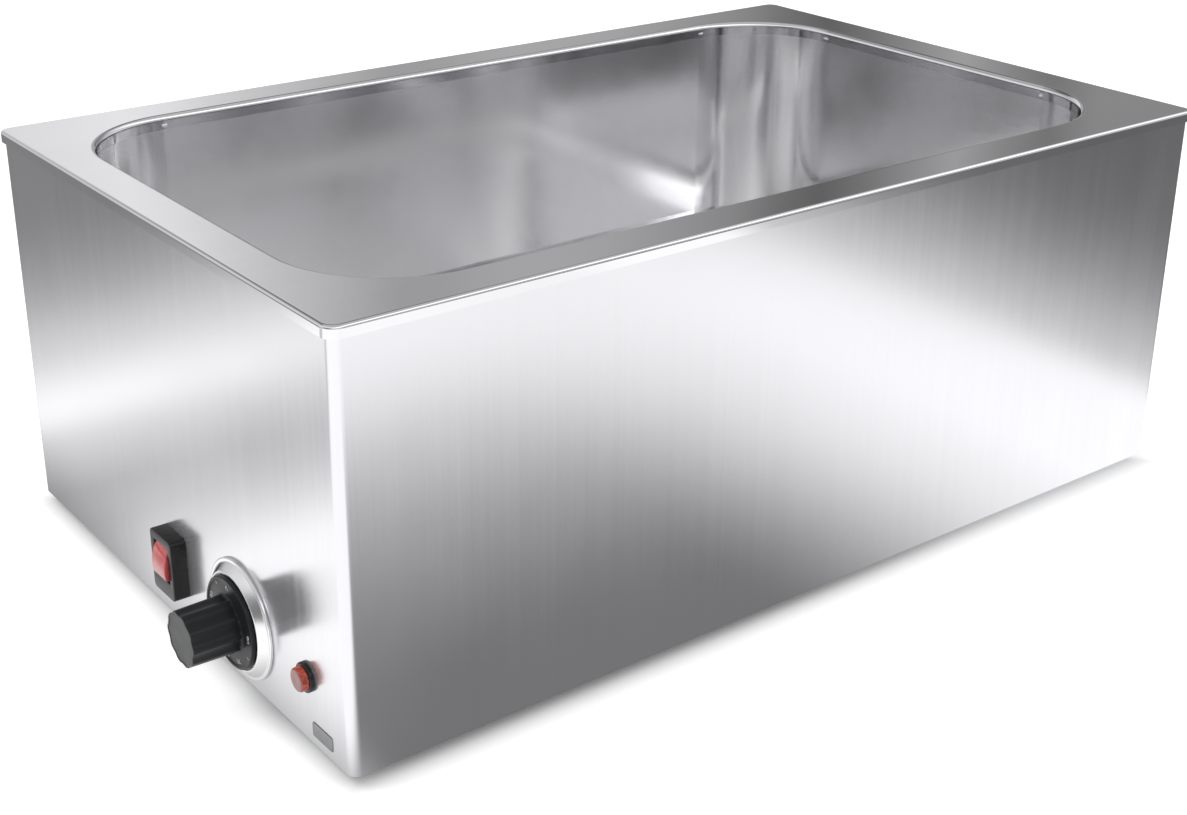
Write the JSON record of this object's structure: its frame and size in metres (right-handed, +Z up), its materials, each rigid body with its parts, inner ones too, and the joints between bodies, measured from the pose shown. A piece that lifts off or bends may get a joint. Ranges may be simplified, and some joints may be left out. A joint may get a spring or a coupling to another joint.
{
  "type": "bain marie",
  "caption": "Counter-top bain marie: a brushed steel box with one deep full-size heated well, a rim round it, and a rocker switch, dial and pilot lamp on one short end.",
  "frame": {"origin": "middle of the overall box, on the surface that the feet stand on", "axes": "+X to the right as seen from the control panel, +Y from the control panel to the rear, +Z up"},
  "size_m": [0.36, 0.6174, 0.225],
  "materials": {
    "deck_steel": "fine satin polish along its length",
    "body_steel": "upright brushed grain",
    "well_steel": "pressed, semi-bright",
    "plain_steel": "mill finish",
    "zinc_steel": "zinc plated",
    "bright_chrome": "mirror bright",
    "black_plastic": "satin moulded",
    "gloss_black": "gloss moulded",
    "red_rocker": "translucent red",
    "red_lens": "translucent red, domed",
    "badge_metal": "bare satin plate",
    "foot_rubber": "moulded",
    "seal_rubber": "moulded",
    "brass": "bare",
    "copper": "bare copper tube",
    "alloy_plate": "rolled plate",
    "element_steel": "heat-tinted sheath",
    "board": "compressed fibre board",
    "ivory_plastic": "moulded",
    "bakelite": "moulded",
    "wire_brown": "silicone sleeve",
    "wire_blue": "silicone sleeve",
    "wire_red": "glass-fibre sleeve",
    "wire_green": "silicone sleeve"
  },
  "bodies": {
    "housing": {"deck": "deck_steel", "well": "well_steel", "body_wrap": "body_steel", "rear_panel": "body_steel", "base_plate": "plain_steel", "foot_front_left": "foot_rubber", "foot_front_right": "foot_rubber", "foot_rear_left": "foot_rubber", "foot_rear_right": "foot_rubber", "foot_fasteners": "zinc_steel", "base_screws": "zinc_steel", "rear_screws": "zinc_steel", "thermostat_bezel": "bright_chrome", "thermostat_body": "ivory_plastic", "thermostat_screws": "zinc_steel", "thermostat_terminals": "brass", "capillary_tube": "copper", "sensor_bulb": "copper", "bulb_clips": "plain_steel", "switch_housing": "gloss_black", "switch_terminals": "brass", "pilot_collar": "gloss_black", "pilot_lens": "red_lens", "pilot_body": "ivory_plastic", "pilot_nut": "black_plastic", "pilot_terminals": "brass", "badge_plate": "badge_metal", "well_studs": "zinc_steel", "diffuser_plate": "alloy_plate", "heating_element": "element_steel", "element_terminals": "brass", "element_clamps": "plain_steel", "heater_nuts": "zinc_steel", "insulation_board": "board", "heat_shield": "plain_steel", "thermal_cutout": "bakelite", "cutout_bracket": "plain_steel", "cutout_terminals": "brass", "terminal_block": "ivory_plastic", "block_terminals": "brass", "earth_stud": "brass", "earth_nut": "brass", "earth_lug": "zinc_steel", "gland_body": "black_plastic", "gland_seal": "seal_rubber", "gland_cap": "black_plastic", "gland_locknut": "black_plastic", "lead_supply_live": "wire_brown", "lead_supply_neutral": "wire_blue", "lead_switch_live": "wire_brown", "lead_thermostat_cutout": "wire_brown", "lead_cutout_heater": "wire_red", "lead_heater_neutral": "wire_blue", "lead_lamp_live": "wire_brown", "lead_lamp_neutral": "wire_blue", "lead_earth": "wire_green"},
    "knob": {"control_knob": "black_plastic", "knob_spring": "brass", "thermostat_shaft": "plain_steel"},
    "rocker": {"switch_rocker": "red_rocker"}
  },
  "joints": [
    {"name": "knob_turn", "type": "hinge", "parent": "housing", "child": "knob", "pos_m": [0.077, -0.2763, 0.041], "axis": [0, 1, 0], "range_deg": [0, 270]},
    {"name": "rocker_tilt", "type": "hinge", "parent": "housing", "child": "rocker", "pos_m": [0.006, -0.281, 0.043], "axis": [1, 0, 0], "range_deg": [0, 20]}
  ]
}
